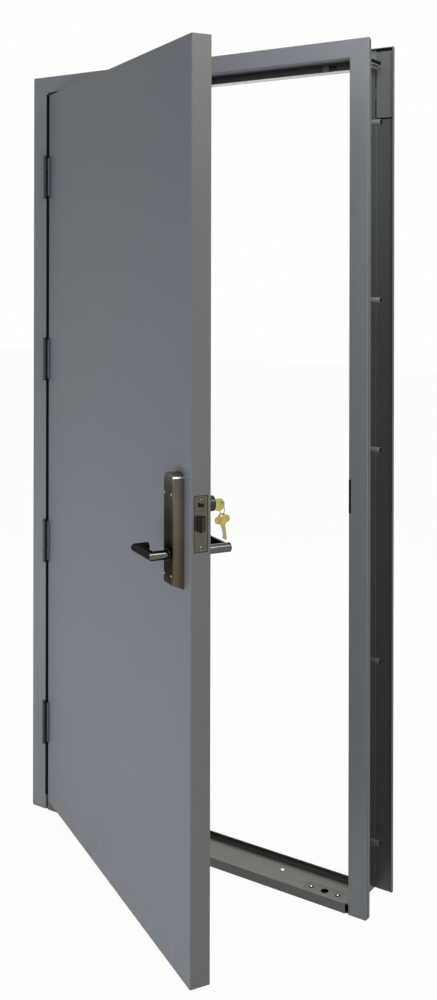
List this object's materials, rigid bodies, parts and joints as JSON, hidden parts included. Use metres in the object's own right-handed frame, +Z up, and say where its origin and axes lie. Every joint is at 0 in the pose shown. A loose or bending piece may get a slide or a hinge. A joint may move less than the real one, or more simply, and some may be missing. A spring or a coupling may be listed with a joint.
{
  "type": "fire door",
  "caption": "Flush steel fire door leaf hung open on butt hinges in a pressed double rebate frame with sill, lever trims, latch lock and key.",
  "frame": {"origin": "middle of the frame on the underside of the sill", "axes": "+X along the wall from the hinge side to the lock side, +Y into the wall away from the side the leaf opens to, +Z up"},
  "size_m": [1.118, 0.7007, 2.2],
  "materials": {
    "grey_paint": "satin blue-grey paint",
    "mill_metal": "plain rolled metal",
    "primer": "primer",
    "steel": "plain steel",
    "seal": "matt",
    "black_plastic": "matt",
    "core": "pressed board",
    "satin_bronze": "satin",
    "dark_bronze": "satin",
    "brass": "polished"
  },
  "bodies": {
    "frame": {"head": "grey_paint", "hinge_jamb": "grey_paint", "strike_jamb": "grey_paint", "sill": "mill_metal", "hinge_jamb_anchors": "primer", "strike_jamb_anchors": "primer", "hinge_corner_gusset": "primer", "strike_corner_gusset": "primer", "stop_seal": "seal", "strike_plate": "steel", "strike_box": "black_plastic", "head_strike": "steel", "sill_strike": "mill_metal", "frame_hinge_1": "grey_paint", "frame_hinge_2": "grey_paint", "frame_hinge_3": "grey_paint", "frame_hinge_4": "grey_paint", "hinge_pin_1": "steel", "hinge_pin_2": "steel", "hinge_pin_3": "steel", "hinge_pin_4": "steel"},
    "leaf": {"leaf_front": "grey_paint", "leaf_back": "grey_paint", "leaf_top_channel": "grey_paint", "leaf_bottom_channel": "grey_paint", "leaf_core": "core", "door_hinge_1": "grey_paint", "door_hinge_2": "grey_paint", "door_hinge_3": "grey_paint", "door_hinge_4": "grey_paint", "lock_body": "dark_bronze", "top_rod_bolt": "steel", "bottom_rod_bolt": "steel", "front_housing": "satin_bronze", "back_housing": "satin_bronze", "lock_cylinder": "brass"},
    "front_lever": {"front_lever": "satin_bronze"},
    "back_lever": {"back_lever": "satin_bronze"},
    "latch_bolt": {"latch_bolt": "dark_bronze"},
    "aux_latch": {"aux_latch": "dark_bronze"},
    "key": {"key": "brass"},
    "key_ring": {"key_ring": "steel", "spare_key": "brass"}
  },
  "joints": [
    {"name": "leaf_swing", "type": "hinge", "parent": "frame", "child": "leaf", "pos_m": [-0.5025, -0.089, 1.1], "axis": [0, 0, -1], "range_deg": [-30, 140]},
    {"name": "front_lever_turn", "type": "hinge", "parent": "leaf", "child": "front_lever", "pos_m": [0.30548, -0.57454, 0.981], "axis": [-0.5, -0.866, 0], "range_deg": [0, 45], "stiffness_Nm_per_rad": 1.2, "springref_deg": -17.19},
    {"name": "back_lever_turn", "type": "hinge", "parent": "leaf", "child": "back_lever", "pos_m": [0.35048, -0.4966, 0.981], "axis": [-0.5, -0.866, 0], "range_deg": [0, 45], "stiffness_Nm_per_rad": 1.2, "springref_deg": -17.19},
    {"name": "latch_slide", "type": "slide", "parent": "leaf", "child": "latch_bolt", "axis": [0.866, -0.5, 0], "range_m": [-0.017, 0], "stiffness_N_per_m": 200, "springref_m": 0.01},
    {"name": "aux_latch_slide", "type": "slide", "parent": "leaf", "child": "aux_latch", "axis": [0.866, -0.5, 0], "range_m": [-0.004, 0], "stiffness_N_per_m": 100, "springref_m": 0.01},
    {"name": "key_turn", "type": "hinge", "parent": "leaf", "child": "key", "pos_m": [0.35048, -0.4966, 1.086], "axis": [0.5, 0.866, 0], "range_deg": [0, 90]},
    {"name": "ring_swing", "type": "hinge", "parent": "key", "child": "key_ring", "pos_m": [0.37298, -0.45763, 1.086], "axis": [0.866, -0.5, 0], "range_deg": [-8, 40]}
  ]
}
